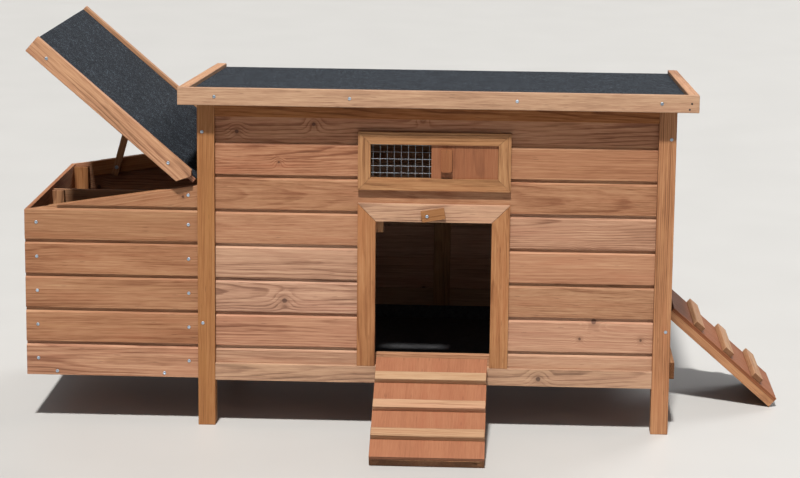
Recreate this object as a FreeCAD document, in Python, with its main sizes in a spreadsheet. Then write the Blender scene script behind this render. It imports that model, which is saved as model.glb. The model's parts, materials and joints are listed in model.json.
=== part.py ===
import FreeCAD, Part
import Sketcher
import os
import re

# Wooden hen house on legs, with a nest box on its left, a roof that falls to the back,
# two doors that fold down as ramps, a sliding vent and a pull-out dropping tray.
# Millimetres. House coordinates: X = 0 in the middle of the house, Y = 0 at the front
# face of the legs, Z = 0 on the ground. originX and originY move the finished part so
# that the middle of its footprint is the origin.

SIZES = (
    ("originX", -65.41), ("originY", 225.78), ("reach", 300), ("slack", 0.3), ("margin", 1),
    # house
    ("houseHalf", 575), ("houseDepth", 700), ("leg", 42), ("trim", 12), ("board", 12),
    ("wallLow", 114.5), ("railTop", 157), ("railHigh", 42), ("topRailLow", 767), ("frameWide", 44),
    ("ledgeHigh", 12), ("topRailGap", 5),
    # weather boards
    ("pitch", 85), ("boardGap", 8), ("lip", 7), ("bevel", 4),
    # roof
    ("roofTop", 842), ("roofFall", 3.3), ("roofHalf", 620), ("roofShift", 3.5), ("roofFront", 42),
    ("roofDeep", 830), ("fasciaHigh", 42), ("fasciaThick", 20), ("battenWide", 25), ("feltDrop", 9),
    ("felt", 3), ("deck", 12), ("feltOver", 3),
    # doors that open as ramps
    ("doorMid", -2.5), ("doorHalf", 140), ("doorHigh", 360), ("sideMid", 414.5), ("sideSill", 229.8),
    ("rampHalf", 134.5), ("rampLong", 353), ("rampPly", 9), ("rampFrame", 19.5), ("rampStile", 41),
    ("rampFloor", 1.5), ("rampBack", 4.5), ("frontOpen", 116.9), ("sideOpen", 131),
    ("rungFirst", 66), ("rungPitch", 100), ("rungWide", 28), ("rungHigh", 14), ("rungHalf", 134),
    ("stopIn", 30), ("stopLow", 130.5), ("stopTop", 183), ("stopThick", 18), ("sideStopLow", 200),
    ("sideStopHigh", 59), ("traySlot", 174), ("catchDrop", 32), ("catchHigh", 60), ("catchOut", 17),
    ("catchBack", 36),
    # butt hinges
    ("hingeOut", 4), ("knuckle", 4), ("pinR", 2), ("boreR", 2.05), ("leafHalf", 25), ("leafThick", 1.5),
    ("leafLong", 32), ("leafStart", 4.5), ("tabFixed", 5), ("tabMoving", 6), ("knuckleHalf", 8.7),
    ("knuckleFree", 9), ("hingeIn", 45), ("lidHingeApart", 235), ("lidHingeMid", 345),
    # window with its sliding vent
    ("windowLow", 594), ("windowHigh", 142), ("windowHalf", 184), ("windowBar", 30), ("meshWide", 154.5),
    ("pocket", 156), ("ventStart", 7.5), ("ventWide", 161), ("ventFront", 4.5), ("ventThick", 6),
    ("ventPlay", 0.8), ("ventGroove", 5), ("grooveFront", 4), ("grooveDeep", 7),
    ("wire", 1.2), ("wirePitch", 17), ("wireFront", 12.2), ("wireIn", 5), ("wireRise", 6),
    ("knobStart", 15), ("knobRise", 4), ("knobWide", 28), ("knobHigh", 56), ("knobOut", 14), ("knobBevel", 4),
    # turn buttons
    ("buttonLong", 57), ("buttonWide", 26), ("buttonThick", 10), ("buttonEnd", 13.5), ("buttonTilt", 10),
    ("buttonSide", 16), ("buttonRise", 16.5), ("buttonGap", 0.5), ("screwR", 2.5), ("screwPlay", 0.05),
    ("screwHead", 4), ("headThick", 1.5),
    # nest box
    ("nestLong", 424), ("nestFront", 8), ("nestBack", 680), ("nestLow", 117), ("nestTop", 596),
    ("nestFall", 8.9), ("nestRail", 38), ("nestRailLong", 366), ("nestRailIn", 6), ("dividerY", 338),
    ("dividerTop", 521), ("nestFloorLow", 6), ("nestFloorThick", 9), ("nestHoleEdge", 20), ("postHigh", 395),
    ("nestHoleDivider", 10),
    ("postWide", 30), ("postDeep", 18), ("backPostWide", 38), ("backPostDeep", 24),
    # lid of the nest box
    ("lidAxisX", -579), ("lidAxisZ", 590.7), ("lidOpen", 40.8), ("lidLong", 522), ("lidRise", 5),
    ("lidFront", -14), ("lidBack", 702), ("lidHang", 21), ("lidProud", 24), ("lidEnd", 14),
    ("lidNoseTop", 36.3), ("lidNoseX", 26.5), ("lidNoseZ", 17.7), ("lidNoseLow", 46.4),
    ("lidBattenX", 262), ("lidBattenWide", 44), ("lidBattenFront", 36), ("lidBattenLong", 580),
    ("lidBattenThick", 18),
    # stick that holds the lid up
    ("propPivotX", -287.9), ("propPivotZ", -8.9), ("propLean", 15.8), ("propLong", 276), ("propOver", 9),
    ("propWide", 18), ("propThick", 10), ("propY", 643), ("propBolt", 253.7), ("propBoltR", 5),
    ("propBoltHigh", 2), ("propPinR", 3), ("bracketHalf", 14), ("bracketThick", 12.5), ("bracketBack", 13),
    ("bracketDrop", 12),
    # floor, tray and perches
    ("floorLow", 124), ("floorThick", 6), ("bearer", 38), ("bearerApart", 350), ("trayHigh", 35),
    ("trayRise", 0.5), ("trayLeft", 545), ("traySide", 52), ("trayDeep", 596), ("sheetMetal", 1.2),
    ("trayFront", 590), ("trayBoard", 20), ("trayBoardLow", 128.5), ("trayBoardHigh", 41.5),
    ("trayBoardGap", 5), ("perchX", 300), ("perchZ", 330), ("perchWide", 45), ("perchHigh", 35),
    ("cleatHalf", 30), ("cleatThick", 20), ("cleatHigh", 40),
    ("backBattenLeft", 20), ("backBattenWide", 44), ("backBattenRise", 20), ("backBattenHigh", 625),
    # screws
    ("legScrewIn", 12), ("legScrewHigh", 729), ("legScrewLow", 257), ("nestScrewRise", 42),
    ("nestScrewLeft", 29), ("nestScrewRight", 23), ("nestScrewTop", 24), ("nestFootRise", 10),
    ("nestFootLeft", 349), ("nestFootRight", 84), ("fasciaScrewA", -528), ("fasciaScrewB", -205),
    ("fasciaScrewC", 193), ("fasciaScrewD", 535), ("lidScrewIn", 50), ("lidScrewRight", -90),
)
NAMES = dict(SIZES)

doc = FreeCAD.newDocument("chicken_coop")
sheet = doc.addObject("Spreadsheet::Sheet", "Sizes")
for row, (alias, number) in enumerate(SIZES, start=1):
    sheet.set(f"A{row}", alias)
    sheet.set(f"B{row}", str(number))
    sheet.setAlias(f"B{row}", alias)
doc.recompute()

X_AXIS = FreeCAD.Vector(1, 0, 0)
Y_AXIS = FreeCAD.Vector(0, 1, 0)
Z_AXIS = FreeCAD.Vector(0, 0, 1)
HOUSE = (("-originX", "-originY", "0"), None, "0")
ROOF = (("roofShift - originX", "-roofFront - originY", "roofTop"), X_AXIS, "-roofFall")
FRONT_RAMP = (("doorMid - originX", "-hingeOut - originY", "railTop"), X_AXIS, "frontOpen")
SIDE_RAMP = (("houseHalf + hingeOut - originX", "sideMid - originY", "sideSill"), Y_AXIS, "sideOpen")
LID = (("lidAxisX - originX", "-originY", "lidAxisZ"), Y_AXIS, "lidOpen")

nodes = []


# ------------------------------------------------------------------ helpers
def bound(expression):
    """Turn a formula of alias words into one that reads the sheet."""
    def swap(match):
        word = match.group()
        return f"Sizes.{word}" if word in NAMES else word
    return re.sub(r"[A-Za-z]\w*", swap, str(expression))


def value(expression):
    """The number that a formula of alias words gives now."""
    return float(sheet.evalExpression(bound(expression)))


def place(item, base, axis=None, angle="0"):
    """Bind an object's place, and its turn about one axis in degrees, to the sheet."""
    if axis is not None:
        item.Placement = FreeCAD.Placement(FreeCAD.Vector(), FreeCAD.Rotation(axis, value(angle)))
        item.setExpression("Placement.Rotation.Angle", bound(angle))
    for letter, expression in zip("xyz", base):
        item.setExpression(f"Placement.Base.{letter}", bound(expression))
    return item


def box(low, size):
    item = doc.addObject("Part::Box", "block")
    for name, expression in zip(("Length", "Width", "Height"), size):
        item.setExpression(name, bound(expression))
    return place(item, low)


def rod(start, radius, length, axis):
    """A round bar from a point along +X or +Y."""
    item = doc.addObject("Part::Cylinder", "rod")
    item.setExpression("Radius", bound(radius))
    item.setExpression("Height", bound(length))
    turn = (Y_AXIS, "90") if axis == "X" else (X_AXIS, "-90")
    return place(item, start, *turn)


def profile(plane, polygons, depth, backwards=False):
    """A PartDesign body: closed outlines on one origin plane, padded to a depth."""
    body = doc.addObject("PartDesign::Body", "profile")
    body.AllowCompound = True
    sketch = body.newObject("Sketcher::SketchObject", "outline")
    origin = next(item for item in body.Origin.OriginFeatures if item.Role == plane)
    sketch.AttachmentSupport = [(origin, "")]
    sketch.MapMode = "FlatFace"
    constraints = []
    formulas = []
    for points in polygons:
        first = sketch.GeometryCount
        spots = [FreeCAD.Vector(value(across), value(up), 0) for across, up in points]
        lines = [Part.LineSegment(a, b) for a, b in zip(spots, spots[1:] + spots[:1])]
        sketch.addGeometry(lines, False)
        for index, (across, up) in enumerate(points):
            before = first + (index - 1) % len(points)
            constraints.append(Sketcher.Constraint("Coincident", before, 2, first + index, 1))
            for kind, expression, number in (("DistanceX", across, spots[index].x),
                                             ("DistanceY", up, spots[index].y)):
                formulas.append((len(constraints), expression))
                constraints.append(Sketcher.Constraint(kind, -1, 1, first + index, 1, number))
    sketch.addConstraint(constraints)
    for index, expression in formulas:
        sketch.setExpression(f"Constraints[{index}]", bound(expression))
    pad = body.newObject("PartDesign::Pad", "pad")
    pad.Profile = sketch
    pad.setExpression("Length", bound(depth))
    pad.Reversed = backwards
    body.Tip = pad
    return body


def group(parts, frame=HOUSE, name="group"):
    item = doc.addObject("Part::Compound", name)
    item.Links = parts
    return place(item, *frame)


def node(name, parts, frame=HOUSE):
    """One named sub-part, made of one or more separate solids."""
    item = group(parts, frame, name)
    item.Label = name
    nodes.append(item)


def fuse(parts):
    item = doc.addObject("Part::MultiFuse", "fused")
    item.Shapes = parts
    return item


def cut(base, tool):
    item = doc.addObject("Part::Cut", "cut")
    item.Base = base
    item.Tool = tool
    return item


def boards(length, count):
    """Rabbeted weather boards: local X along the wall, Y inwards, Z up from the lowest edge."""
    body = profile("YZ_Plane", [[
        ("0", "0"), ("0", "pitch - boardGap - bevel"), ("bevel", "pitch - boardGap"),
        ("board / 2 + slack", "pitch - boardGap"), ("board / 2 + slack", "pitch + lip - margin"),
        ("board", "pitch + lip - margin"), ("board", "lip"), ("board / 2 - slack", "lip"),
        ("board / 2 - slack", "0"),
    ]], length)
    pattern = body.newObject("PartDesign::LinearPattern", "stack")
    pattern.Originals = [body.Tip]
    upward = next(item for item in body.Origin.OriginFeatures if item.Role == "Z_Axis")
    pattern.Direction = (upward, [""])
    pattern.setExpression("Length", bound(f"pitch * {count - 1}"))
    pattern.Occurrences = count
    body.Tip = pattern
    return body


# ------------------------------------------------------------------ house
def under_roof(depth):
    """Height just below the roof panel at a distance behind the legs' front."""
    return f"(roofTop - feltDrop - felt - deck - (roofFront + {depth}) * tan(roofFall * 1 deg) - slack)"


def legs():
    for depth, low, back in (("front", "0", "leg"), ("back", "houseDepth - leg", "houseDepth")):
        for side, left in (("left", "-houseHalf"), ("right", "houseHalf - leg")):
            node(f"leg_{depth}_{side}", [box((left, low, "0"), ("leg", "leg", under_roof(back)))])


def rails():
    left = "-houseHalf + leg"
    wide = "2 * (houseHalf - leg)"
    base_high = "railTop - wallLow"
    node("front_rails", [
        box((left, "0", "wallLow"), (wide, "trim", base_high)),
        box((left, "0", "topRailLow"), (wide, "trim", f"{under_roof('trim')} - topRailLow")),
    ])
    back = "houseDepth - trim"
    node("back_rails", [
        box((left, back, "wallLow"), (wide, "trim", base_high)),
        box((left, back, f"{under_roof('houseDepth')} - railHigh"), (wide, "trim", "railHigh")),
    ])
    span = "houseDepth - 2 * leg"
    node("side_base_rails", [
        box(("-houseHalf", "leg", "wallLow"), ("trim", span, "railTop - wallLow")),
        box(("-houseHalf", "leg", "nestTop - railHigh"), ("trim", span, "railHigh")),
        box(("houseHalf - trim", "leg", "sideSill - railHigh"), ("trim", span, "railHigh")),
        box(("houseHalf - trim - board", "leg + slack", "wallLow"),
            ("trim + board", f"{span} - margin", "ledgeHigh")),
    ])
    under = "-feltDrop - felt - deck - railHigh - slack"
    size = ("trim", f"{span} - topRailGap + margin", "railHigh")
    node("side_top_rails", [box((left, "roofFront + leg + topRailGap", under), size)
                            for left in ("-houseHalf - roofShift", "houseHalf - trim - roofShift")], ROOF)


def claddings():
    run = "2 * (houseHalf - leg)"
    span = "houseDepth - 2 * leg"
    face = "houseHalf - trim"
    front = place(boards(run, 9), ("-houseHalf + leg", "trim", "wallLow"))
    door = box(("doorMid - doorHalf", "0", "wallLow - margin"),
               ("2 * doorHalf", "2 * leg", "5 * pitch + lip + margin"))
    vent_low = "windowLow + windowBar - 2 * margin"
    vent = box(("doorMid - windowHalf + windowBar", "0", vent_low),
               ("pocket", "2 * leg", f"wallLow + 7 * pitch + lip - ({vent_low})"))
    above = box(("-houseHalf", "0", under_roof("trim + board")), ("2 * houseHalf", "2 * leg", "reach"))
    node("front_cladding", [cut(front, group([door, vent, above], ((0, 0, 0),)))])

    back = place(boards(run, 8), ("houseHalf - leg", "houseDepth - trim", "wallLow"), Z_AXIS, "180")
    above = box(("-houseHalf", "houseDepth - 2 * leg", under_roof("houseDepth")),
                ("2 * houseHalf", "3 * leg", "reach"))
    node("back_cladding", [cut(back, above)])

    roof_tool = ((0, "-roofFront", "roofTop"), X_AXIS, "-roofFall")
    low = "-feltDrop - felt - deck - slack"
    left = place(boards(span, 9), (f"-({face})", "houseDepth - leg", "wallLow"), Z_AXIS, "-90")
    hole_high = "3 * pitch + lip"
    nests = [box(("-houseHalf", start, "wallLow + pitch"), ("2 * leg", f"{end} - ({start})", hole_high))
             for start, end in (("leg + nestHoleEdge", "dividerY - nestHoleDivider"),
                                ("dividerY + board + nestHoleDivider", "houseDepth - leg - nestHoleEdge"))]
    above = group([box(("-2 * houseHalf", "0", low), ("4 * houseHalf", "roofDeep", "reach"))], roof_tool)
    node("left_cladding", [cut(cut(left, group(nests, ((0, 0, 0),))), above)])

    right = place(boards(span, 9), (face, "leg", "wallLow"), Z_AXIS, "90")
    slot = box(("houseHalf - 2 * leg", "0", "0"), ("3 * leg", "houseDepth", "traySlot"))
    door = box(("houseHalf - 2 * leg", "sideMid - doorHalf", "wallLow + pitch"),
               ("3 * leg", "2 * doorHalf", "5 * pitch + lip"))
    above = group([box(("-2 * houseHalf", "0", low), ("4 * houseHalf", "roofDeep", "reach"))], roof_tool)
    node("right_cladding", [cut(cut(right, group([slot, door], ((0, 0, 0),))), above)])


def frame_outline(left, right, low, high, bar, closed):
    """Mitred members round an opening: two uprights, a top and, if closed, a bottom."""
    inner_left = f"{left} + {bar}"
    inner_right = f"{right} - {bar}"
    inner_high = f"{high} - {bar}"
    inner_low = f"{low} + {bar}" if closed else low
    foot_gap = "slack" if closed else "0"
    members = [
        [(f"{left} + slack", high), (f"{inner_left} + slack", inner_high),
         (f"{inner_right} - slack", inner_high), (f"{right} - slack", high)],
        [(left, f"{low} + {foot_gap}"), (left, f"{high} - slack"),
         (inner_left, f"{inner_high} - slack"), (inner_left, f"{inner_low} + {foot_gap}")],
        [(right, f"{low} + {foot_gap}"), (right, f"{high} - slack"),
         (inner_right, f"{inner_high} - slack"), (inner_right, f"{inner_low} + {foot_gap}")],
    ]
    if closed:
        members.append([(f"{left} + slack", low), (f"{inner_left} + slack", inner_low),
                        (f"{inner_right} - slack", inner_low), (f"{right} - slack", low)])
    return members


def door_frames():
    front = profile("XZ_Plane", frame_outline(
        "-doorHalf - frameWide", "doorHalf + frameWide", "0", "doorHigh + frameWide", "frameWide", False),
        "trim", True)
    node("front_door_frame", [place(front, ("doorMid", "0", "railTop"))])
    side = profile("XZ_Plane", frame_outline(
        "-doorHalf - frameWide", "doorHalf + frameWide", "0", "doorHigh + frameWide", "frameWide", False),
        "trim", True)
    node("side_door_frame", [place(side, ("houseHalf", "sideMid", "sideSill"), Z_AXIS, "90")])
    wide = "2 * doorHalf"
    fixed = box(("-doorHalf - catchBack", "trim + board", "doorHigh - catchDrop"),
                ("catchBack", "stopIn + stopThick - trim - board", "catchHigh"))
    reaching = box(("-doorHalf - margin", "stopIn", "doorHigh - catchDrop"),
                   ("catchOut + margin", "stopThick", "catchHigh"))
    catch = fuse([fixed, reaching])
    node("door_sills", [
        group([catch], (("doorMid", "0", "railTop"), None, "0")),
        group([catch], (("houseHalf", "sideMid", "sideSill"), Z_AXIS, "90")),
        box(("doorMid - doorHalf", "trim", "wallLow"), (wide, "board", "railTop - wallLow")),
        box(("doorMid - doorHalf", "stopIn", "stopLow"), (wide, "stopThick", "stopTop - stopLow")),
        box(("houseHalf - trim - board", "sideMid - doorHalf", "wallLow + pitch + slack"),
            ("board", wide, "sideSill - wallLow - pitch - 2 * slack")),
        box(("houseHalf - stopIn - stopThick", "sideMid - doorHalf", "sideStopLow"),
            ("stopThick", wide, "sideStopHigh")),
    ])


def window():
    bars = profile("XZ_Plane", frame_outline(
        "-windowHalf", "windowHalf", "0", "windowHigh", "windowBar", True), "trim", True)
    groove = box(("-windowHalf + windowBar", "grooveFront", "windowBar - ventGroove"),
                 ("2 * (windowHalf - windowBar)", "grooveDeep", "windowHigh - 2 * (windowBar - ventGroove)"))
    frame = cut(bars, groove)
    node("window_frame", [group([frame], (("doorMid", "0", "windowLow"),))])
    left = "doorMid - windowHalf + windowBar + slack"
    low = "windowLow + windowBar - margin"
    wires = [box((f"{left} + wireIn + wirePitch * {index}", "wireFront", low),
                 ("wire", "wire", "windowHigh - 2 * (windowBar - margin)")) for index in range(9)]
    wires += [box((left, "wireFront + wire", f"{low} + wireIn + wireRise + wirePitch * {index}"),
                  ("meshWide", "wire", "wire")) for index in range(5)]
    node("window_mesh", wires)
    vent_low = "windowBar - ventGroove + ventPlay"
    node("vent_slider", [box(("doorMid - ventStart", "ventFront", f"windowLow + {vent_low}"),
                             ("ventWide", "ventThick", f"windowHigh - 2 * ({vent_low})"))])
    knob = profile("XZ_Plane", [[
        ("knobBevel", "0"), ("0", "knobBevel"), ("0", "knobHigh - knobBevel"), ("knobBevel", "knobHigh"),
        ("knobWide - knobBevel", "knobHigh"), ("knobWide", "knobHigh - knobBevel"),
        ("knobWide", "knobBevel"), ("knobWide - knobBevel", "0")]], "knobOut", False)
    middle = "windowLow + windowHigh / 2 + knobRise"
    node("vent_knob", [place(knob, ("doorMid + knobStart", "ventFront", f"{middle} - knobHigh / 2"))])


def turn_button(name, base, turn):
    """A wooden bar that turns on one screw, here tipped up clear of its door."""
    bar = box(("-buttonEnd", "-buttonThick - buttonGap", "-buttonWide / 2"),
              ("buttonLong", "buttonThick", "buttonWide"))
    hole = rod(("0", "-buttonThick - margin", "0"), "screwR + screwPlay", "buttonThick + 2 * margin", "Y")
    tipped = group([cut(bar, hole)], ((0, 0, 0), Y_AXIS, "-buttonTilt"))
    node(name, [group([tipped], (base, Z_AXIS, turn))])


def buttons():
    front = ("doorMid - buttonSide", "0", "railTop + doorHigh + buttonRise")
    side = ("houseHalf", "sideMid - buttonSide", "sideSill + doorHigh + buttonRise")
    turn_button("front_button", front, "0")
    turn_button("side_button", side, "90")
    screws = []
    for base, turn in ((front, "0"), (side, "90")):
        shank = rod(("0", "-buttonThick - margin", "0"), "screwR", "buttonThick + margin", "Y")
        head = rod(("0", "-buttonThick - margin - headThick", "0"), "screwHead", "headThick", "Y")
        screws.append(group([fuse([shank, head])], (base, Z_AXIS, turn)))
    return screws


def hinge_fixed(spots):
    """Fixed leaves with their outer knuckles and pins, axis along local X at each spot."""
    parts = []
    for spot in spots:
        leaf = box(("-leafHalf", "hingeOut - leafThick", "-leafLong"),
                   ("2 * leafHalf", "leafThick", "leafLong - leafStart"))
        solids = [leaf, rod(("-leafHalf", "0", "0"), "pinR", "2 * leafHalf", "X")]
        for start in ("-leafHalf", "knuckleFree"):
            length = "leafHalf - knuckleFree"
            solids.append(rod((start, "0", "0"), "knuckle", length, "X"))
            solids.append(box((start, "hingeOut - leafThick", "-tabFixed"),
                              (length, "leafThick", "tabFixed")))
        parts.append(group([fuse(solids)], ((spot, "0", "0"),)))
    return parts


def hinge_moving(spots, rise):
    """Moving leaves, each with a middle knuckle bored for its pin, closed against a door."""
    parts = []
    for spot in spots:
        leaf = box(("-leafHalf", f"{rise} - leafThick", "leafStart"),
                   ("2 * leafHalf", "leafThick", "leafLong - leafStart"))
        tab = box(("-knuckleHalf", f"{rise} - leafThick", "0"), ("2 * knuckleHalf", "leafThick", "tabMoving"))
        barrel = rod(("-knuckleHalf", "0", "0"), "knuckle", "2 * knuckleHalf", "X")
        bore = rod(("-knuckleHalf - margin", "0", "0"), "boreR", "2 * (knuckleHalf + margin)", "X")
        parts.append(group([cut(fuse([leaf, tab, barrel]), bore)], ((spot, "0", "0"),)))
    return parts


def ramp_solids():
    """A ramp in its closed place: X across, Y inwards, Z up from the hinge axis."""
    back = "rampBack + rampFrame"
    panel = [box(("-rampHalf", back, "rampFloor"), ("2 * rampHalf", "rampPly", "rampLong"))]
    inner = "2 * (rampHalf - rampStile)"
    frame = [box((left, "rampBack", "rampFloor"), ("rampStile", "rampFrame", "rampLong"))
             for left in ("-rampHalf", "rampHalf - rampStile")]
    frame += [box(("-rampHalf + rampStile", "rampBack", low), (inner, "rampFrame", "rampStile"))
              for low in ("rampFloor", "rampFloor + rampLong - rampStile")]
    rungs = [box(("-rungHalf", f"{back} + rampPly", f"rampFloor + rungFirst + rungPitch * {index}"),
                 ("2 * rungHalf", "rungHigh", "rungWide")) for index in range(3)]
    leaves = hinge_moving(("-rampHalf + hingeIn", "rampHalf - hingeIn"), "rampBack")
    return (("panel", panel), ("frame", frame), ("rungs", rungs), ("hinge_leaves", leaves))


def ramps():
    upright = ((0, 0, 0), Z_AXIS, "90")
    for suffix, solids in ramp_solids():
        node(f"front_ramp_{suffix}", solids, FRONT_RAMP)
    for suffix, solids in ramp_solids():
        node(f"side_ramp_{suffix}", [group(solids, upright)], SIDE_RAMP)
    spots = ("-rampHalf + hingeIn", "rampHalf - hingeIn")
    axis_front = ("doorMid", "-hingeOut", "railTop")
    axis_side = ("houseHalf + hingeOut", "sideMid", "sideSill")
    node("front_ramp_hinge_plates", [group(hinge_fixed(spots), (axis_front, Z_AXIS, "0"))])
    node("side_ramp_hinge_plates", [group(hinge_fixed(spots), (axis_side, Z_AXIS, "90"))])


# ------------------------------------------------------------------ roof
def roof():
    inner = "roofHalf - battenWide - slack"
    node("roof_fascia", [box(("-roofHalf", "0", "-fasciaHigh"),
                             ("2 * roofHalf", "fasciaThick", "fasciaHigh"))], ROOF)
    node("roof_battens", [
        box((left, "fasciaThick + slack", "-fasciaHigh"),
            ("battenWide", "roofDeep - fasciaThick - slack", "fasciaHigh"))
        for left in ("-roofHalf", "roofHalf - battenWide")], ROOF)
    deck_low = "-feltDrop - felt - deck"
    node("roof_panel", [box((f"-({inner})", "fasciaThick + slack", deck_low),
                            (f"2 * ({inner})", "roofDeep - fasciaThick - feltOver", "deck"))], ROOF)
    node("roof_felt", [box((f"-({inner})", "fasciaThick + slack", "-feltDrop - felt"),
                           (f"2 * ({inner})", "roofDeep - fasciaThick - slack", "felt"))], ROOF)


# ------------------------------------------------------------------ nest box
def slope_tool():
    """The space above the sloped top edge of the nest box."""
    space = box(("-2 * nestLong", "-leg", "0"), ("2 * nestLong + leg", "houseDepth + 2 * leg", "reach"))
    return group([space], (("-houseHalf", "0", "nestTop"), Y_AXIS, "-nestFall"))


def nest_box():
    outer = "-houseHalf - nestLong"
    front = place(boards("nestLong", 6), (outer, "nestFront", "nestLow"))
    node("nest_front", [cut(front, slope_tool())])
    back = place(boards("nestLong", 6), ("-houseHalf", "nestBack", "nestLow"), Z_AXIS, "180")
    node("nest_back", [cut(back, slope_tool())])
    depth = "nestBack - nestFront - 2 * board"
    end = place(boards(depth, 5), (outer, "nestBack - board", "nestLow"), Z_AXIS, "-90")
    node("nest_end", [cut(end, slope_tool())])
    inside = "nestFront + board"
    corner = f"{outer} + board"
    floor_top = "nestLow + nestFloorLow + nestFloorThick"
    node("nest_floor", [box((corner, inside, "nestLow + nestFloorLow"),
                            ("nestLong - board", depth, "nestFloorThick"))])
    divider_high = f"dividerTop - ({floor_top})"
    node("nest_divider", [box((corner, "dividerY", floor_top), ("nestLong - board", "board", divider_high))])
    posts = [box((corner, low, floor_top), (wide, deep, high)) for low, wide, deep, high in (
        (inside, "postWide", "postDeep", "postHigh"),
        ("dividerY - postDeep", "postWide", "postDeep", divider_high),
        ("nestBack - board - backPostDeep", "backPostWide", "backPostDeep", "postHigh"))]
    rails_in = [box(("-nestRailIn - nestRailLong", low, "-nestRail"), ("nestRailLong", "board", "nestRail"))
                for low in (inside, "nestBack - 2 * board")]
    sloped = group(rails_in, (("-houseHalf", "0", "nestTop"), Y_AXIS, "-nestFall"))
    node("nest_posts", posts + [sloped])


def lid():
    low = "lidRise - lidHang"
    high = "lidRise + lidProud"
    outline = [[("-lidLong", low), ("-lidLong", high), ("-lidNoseTop", high), ("-lidNoseX", "lidNoseZ"),
                ("-lidNoseLow", low)]]
    for name, start in (("lid_front_fascia", "lidFront"), ("lid_back_fascia", "lidBack - fasciaThick")):
        side = profile("XZ_Plane", outline, "fasciaThick", True)
        node(name, [place(side, ("0", start, "0"))], LID)
    start = "lidFront + fasciaThick + slack"
    depth = "lidBack - lidFront - 2 * fasciaThick - 2 * slack"
    wide = "lidLong - lidEnd"
    node("lid_panel", [box(("-lidLong", start, "lidRise"), (wide, depth, "deck"))], LID)
    node("lid_felt", [box(("-lidLong", start, "lidRise + deck"), (wide, depth, "felt"))], LID)
    node("lid_batten", [box(("-lidBattenX", "lidBattenFront", "lidRise - lidBattenThick"),
                            ("lidBattenWide", "lidBattenLong", "lidBattenThick"))], LID)
    spots = ("-lidHingeApart", "0", "lidHingeApart")
    leaves = group(hinge_moving(spots, "lidRise"), ((0, 0, 0), Z_AXIS, "-90"))
    flat = group([leaves], ((0, 0, 0), Y_AXIS, "-90"))
    node("lid_hinge_leaves", [group([flat], ((0, "lidHingeMid", 0),))], LID)
    plates = group(hinge_fixed(spots), ((0, 0, 0), Z_AXIS, "-90"))
    node("lid_hinge_plates", [group([plates], (("lidAxisX", "lidHingeMid", "lidAxisZ"),))])


def prop():
    """The stick hangs from a bracket under the lid and stands on the rail inside the nest box."""
    bracket = box(("propPivotX - bracketHalf", "propY - bracketBack", "propPivotZ - bracketDrop"),
                  ("2 * bracketHalf", "bracketThick", "lidRise - propPivotZ + bracketDrop"))
    pin = rod(("propPivotX", "propY - bracketBack", "propPivotZ"), "propPinR",
              "bracketBack + propThick + margin", "Y")
    node("prop_bracket", [fuse([bracket, pin])], LID)
    bar = box(("-propWide / 2", "0", "-propLong"), ("propWide", "propThick", "propLong + propOver"))
    hole = rod(("0", "-margin", "0"), "propPinR + screwPlay", "propThick + 2 * margin", "Y")
    stick = group([cut(bar, hole)], ((0, 0, 0), Y_AXIS, "propLean"))
    bolt = rod(("0", "-propBoltHigh", "-propBolt"), "propBoltR", "propBoltHigh", "Y")
    head = group([bolt], ((0, 0, 0), Y_AXIS, "propLean"))
    cosine = "cos(lidOpen * 1 deg)"
    sine = "sin(lidOpen * 1 deg)"
    tip_x = f"lidAxisX + propPivotX * {cosine} + propPivotZ * {sine}"
    tip_z = f"lidAxisZ - propPivotX * {sine} + propPivotZ * {cosine}"
    node("lid_prop", [group([stick], ((tip_x, "propY", tip_z),))])
    node("prop_bolt", [group([head], ((tip_x, "propY", tip_z),))])


# ------------------------------------------------------------------ floor, tray, perches, screws
def inside():
    left = "-houseHalf + trim + board"
    wide = "2 * (houseHalf - trim - board)"
    walls = "houseDepth - 2 * (trim + board)"
    node("floor_bearers", [box((f"{side} * bearerApart - bearer / 2", "trim + board", "wallLow"),
                               ("bearer", walls, "floorLow - wallLow")) for side in (-1, 0, 1)])
    node("floor_panel", [box((left, "leg + margin", "floorLow"),
                             (wide, "houseDepth - 2 * (leg + margin)", "floorThick"))])
    low = "floorLow + floorThick + trayRise"
    long = "trayFront - trayBoard + trayLeft"
    pan = box(("-trayLeft", "traySide", low), (long, "trayDeep", "trayHigh"))
    hollow = box(("-trayLeft + sheetMetal", "traySide + sheetMetal", f"{low} + sheetMetal"),
                 (f"{long} - 2 * sheetMetal", "trayDeep - 2 * sheetMetal", "trayHigh"))
    node("tray_pan", [cut(pan, hollow)])
    node("tray_front", [box(("trayFront - trayBoard", "leg + trayBoardGap", "trayBoardLow"),
                            ("trayBoard", "houseDepth - 2 * (leg + trayBoardGap)", "trayBoardHigh"))])
    node("perches", [box((f"{side} * perchX - perchWide / 2", "trim + board + slack", "perchZ"),
                         ("perchWide", f"{walls} - 2 * slack", "perchHigh")) for side in (-1, 1)])
    node("perch_brackets", [box((f"{side} * perchX - cleatHalf", low, "perchZ - cleatHigh"),
                                ("2 * cleatHalf", "cleatThick", "cleatHigh"))
                            for side in (-1, 1)
                            for low in ("trim + board", "houseDepth - trim - board - cleatThick")])
    node("back_batten", [box(("-backBattenLeft", "houseDepth - trim - 2 * board", "wallLow + backBattenRise"),
                             ("backBattenWide", "board", "backBattenHigh"))])


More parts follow.
